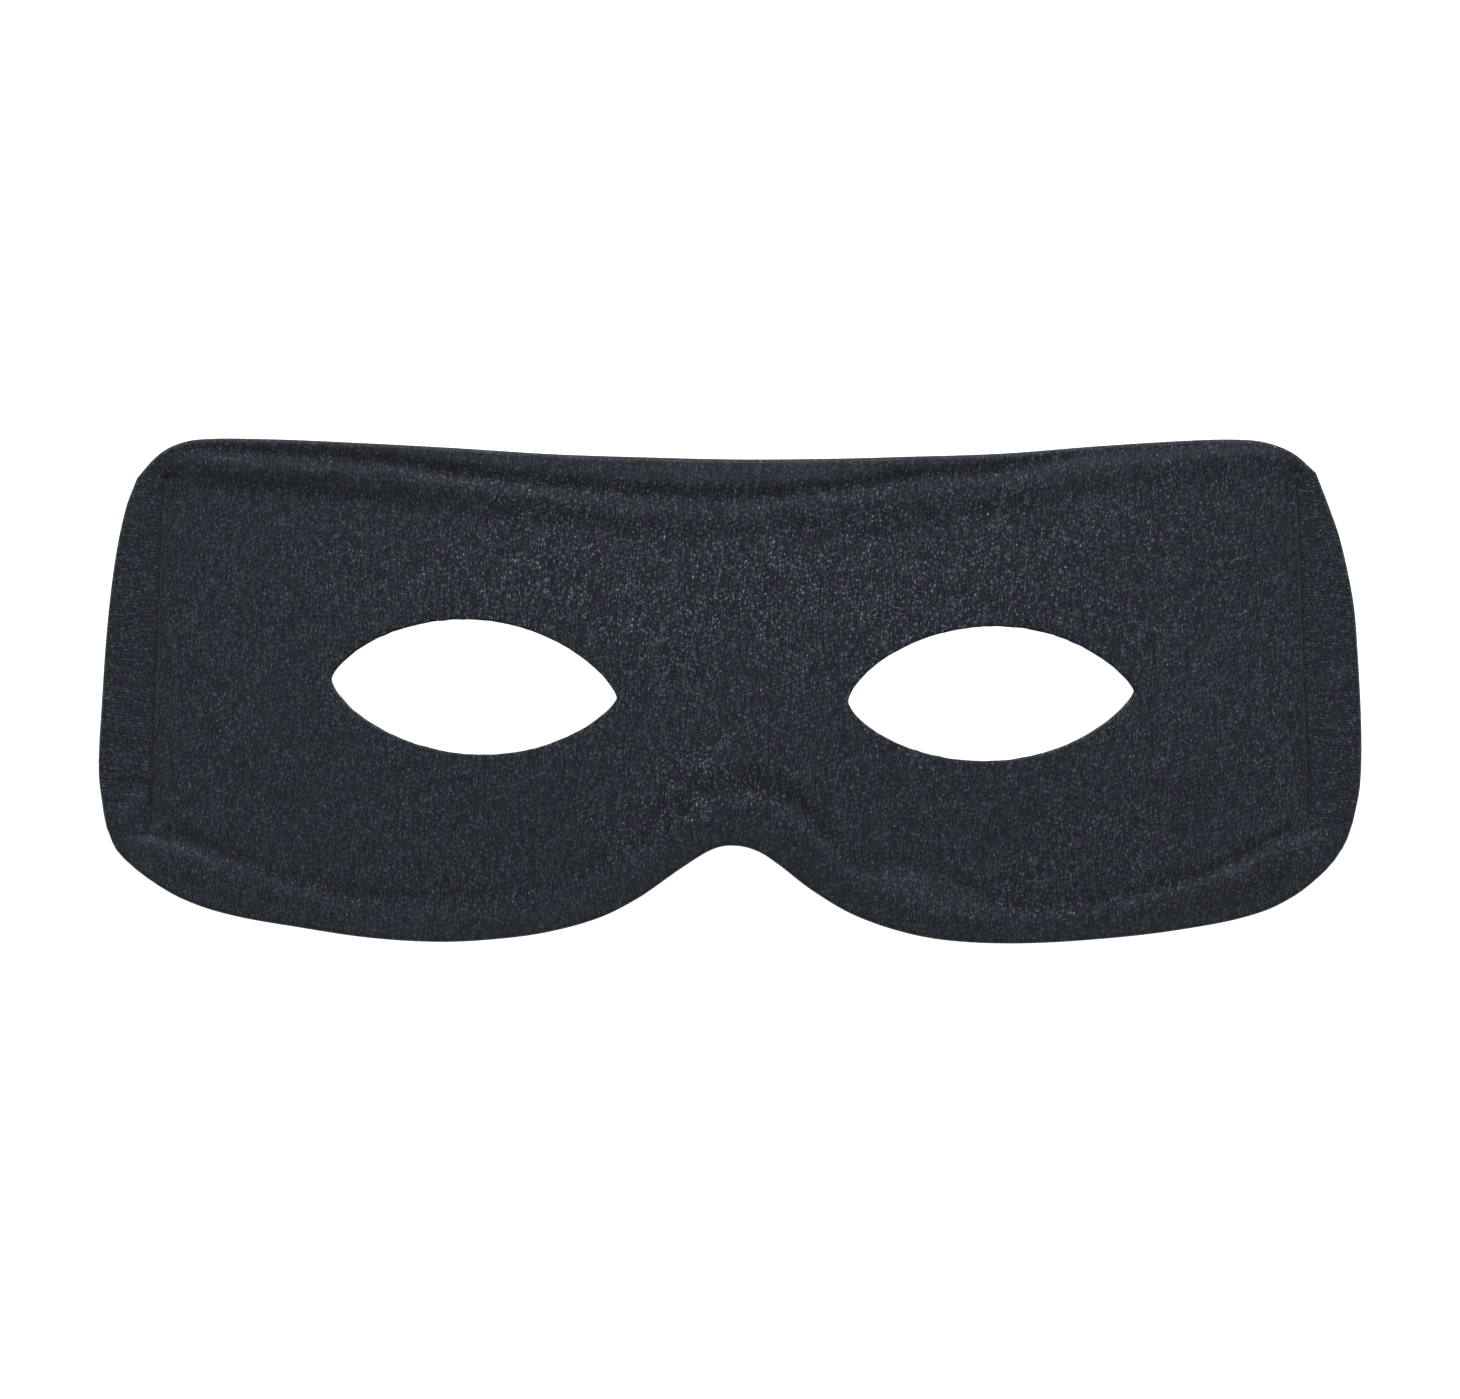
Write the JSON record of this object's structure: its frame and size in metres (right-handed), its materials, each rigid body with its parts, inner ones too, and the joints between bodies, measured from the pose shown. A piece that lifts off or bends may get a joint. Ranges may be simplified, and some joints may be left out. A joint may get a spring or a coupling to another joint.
{
  "type": "domino mask",
  "caption": "Padded cloth domino mask with two almond eye holes, rolled brow and cheek edges, a nose notch and flat stitched side hems.",
  "frame": {"origin": "on the surface that the mask lies on, under the middle of its bounding box", "axes": "+X to the right of the front as seen by someone looking at the front, +Y to the forehead edge, +Z out of the front"},
  "size_m": [0.19, 0.0755, 0.0205],
  "materials": {
    "padded_cloth": "matte black warp-knit cloth over thin foam, with fine upright ribs",
    "rolled_cloth": "the same cloth turned over the foam's edge",
    "hem_cloth": "the same cloth folded flat and stitched, its ribs lying across"
  },
  "bodies": {
    "root": {"face_pad": "padded_cloth", "brow_roll": "rolled_cloth", "cheek_roll": "rolled_cloth", "left_hem": "hem_cloth", "right_hem": "hem_cloth"}
  },
  "joints": []
}
